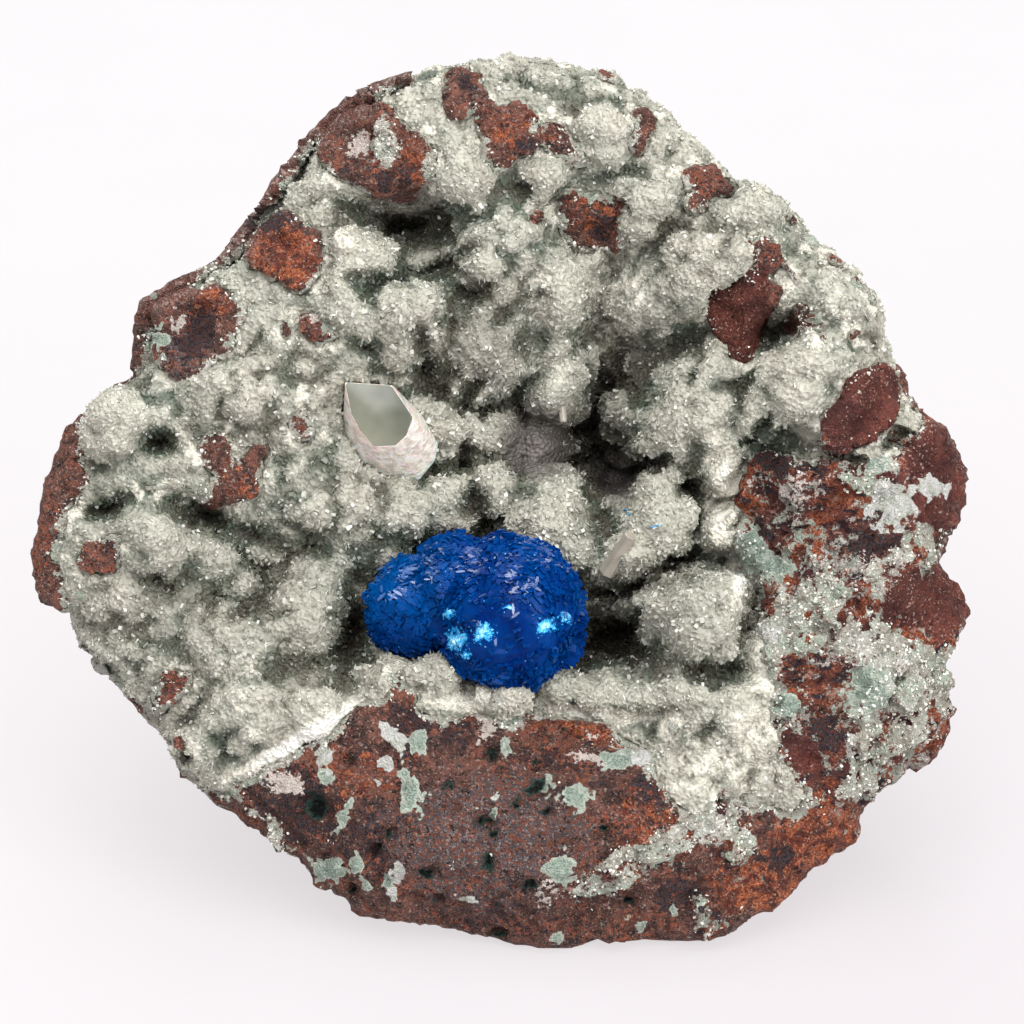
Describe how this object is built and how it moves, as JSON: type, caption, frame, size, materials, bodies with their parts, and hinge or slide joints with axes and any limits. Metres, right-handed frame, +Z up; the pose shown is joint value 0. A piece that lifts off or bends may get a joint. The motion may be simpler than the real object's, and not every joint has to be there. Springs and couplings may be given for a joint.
{
  "type": "cavansite mineral specimen",
  "caption": "Chunk of red basalt breccia with a druse-lined hollow that holds a round blue cavansite rosette and a clear crystal; it stands on its flat underside.",
  "frame": {"origin": "on the table under the middle of the specimen", "axes": "+Z up, -Y towards the viewer on the side of the hollow, +X to the right along the face"},
  "size_m": [0.0658, 0.039, 0.0542],
  "materials": {
    "basalt": "rough broken red-brown rock with white and green specks",
    "zeolite": "sugary grey-green druse of small bright crystals",
    "cavansite": "deep blue, silky blades",
    "calcite": "clear crystal with a smooth top and frosted sides"
  },
  "bodies": {
    "root": {"basalt_matrix": "basalt", "zeolite_crust": "zeolite", "cavansite_ball": "cavansite", "calcite_crystal": "calcite"}
  },
  "joints": []
}
